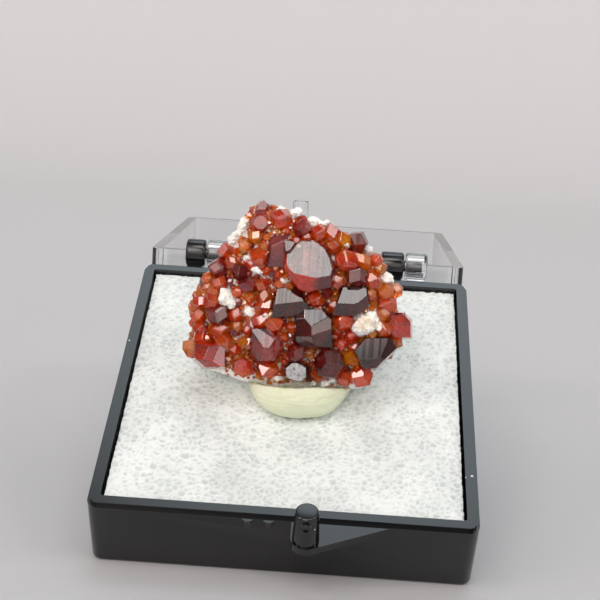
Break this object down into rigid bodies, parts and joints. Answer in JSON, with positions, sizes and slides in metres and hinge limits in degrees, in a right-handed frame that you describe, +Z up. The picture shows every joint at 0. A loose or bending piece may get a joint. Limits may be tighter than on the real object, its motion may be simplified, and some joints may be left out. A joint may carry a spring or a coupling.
{
  "type": "garnet on matrix",
  "caption": "Garnet crystals on a cream matrix slab, held by putty on a foam pad in a black display box whose clear hinged lid folds right back.",
  "frame": {"origin": "on the floor under the middle of the opened box's bounding box", "axes": "+Y from the base to the opened lid, the longest way; +Z up; +X to the right as seen from the base's front"},
  "size_m": [0.056, 0.1218, 0.0534],
  "materials": {
    "black_plastic": "high-gloss black moulded plastic",
    "clear_plastic": "clear moulded plastic",
    "white_foam": "white closed-cell foam, cut face",
    "putty": "pale yellow-green putty, pressed by hand",
    "matrix": "cream-white sugary rock",
    "small_garnet": "clear orange-red crystal with bright faces",
    "red_garnet": "clear red crystal with bright faces",
    "large_garnet": "dark maroon crystal with bright flat faces"
  },
  "bodies": {
    "base": {"box_base": "black_plastic", "foam_pad": "white_foam", "mounting_putty": "putty", "matrix_rock": "matrix", "garnet_crust": "small_garnet", "garnet_crown": "large_garnet", "garnet_left_shadow": "large_garnet", "garnet_left_middle": "large_garnet", "garnet_right_middle": "large_garnet", "garnet_centre_low": "large_garnet", "garnet_left_low": "large_garnet", "garnet_hexagon_low": "large_garnet", "garnet_left_tip": "red_garnet", "garnet_right_low": "large_garnet", "garnet_right_tip": "red_garnet", "garnet_top_pair": "red_garnet", "garnet_red_block": "red_garnet"},
    "lid": {"box_lid": "clear_plastic"}
  },
  "joints": [
    {"name": "lid_hinge", "type": "hinge", "parent": "base", "child": "lid", "pos_m": [0, -0.00338, 0.04025], "axis": [1, 0, 0], "range_deg": [0, 210]}
  ]
}
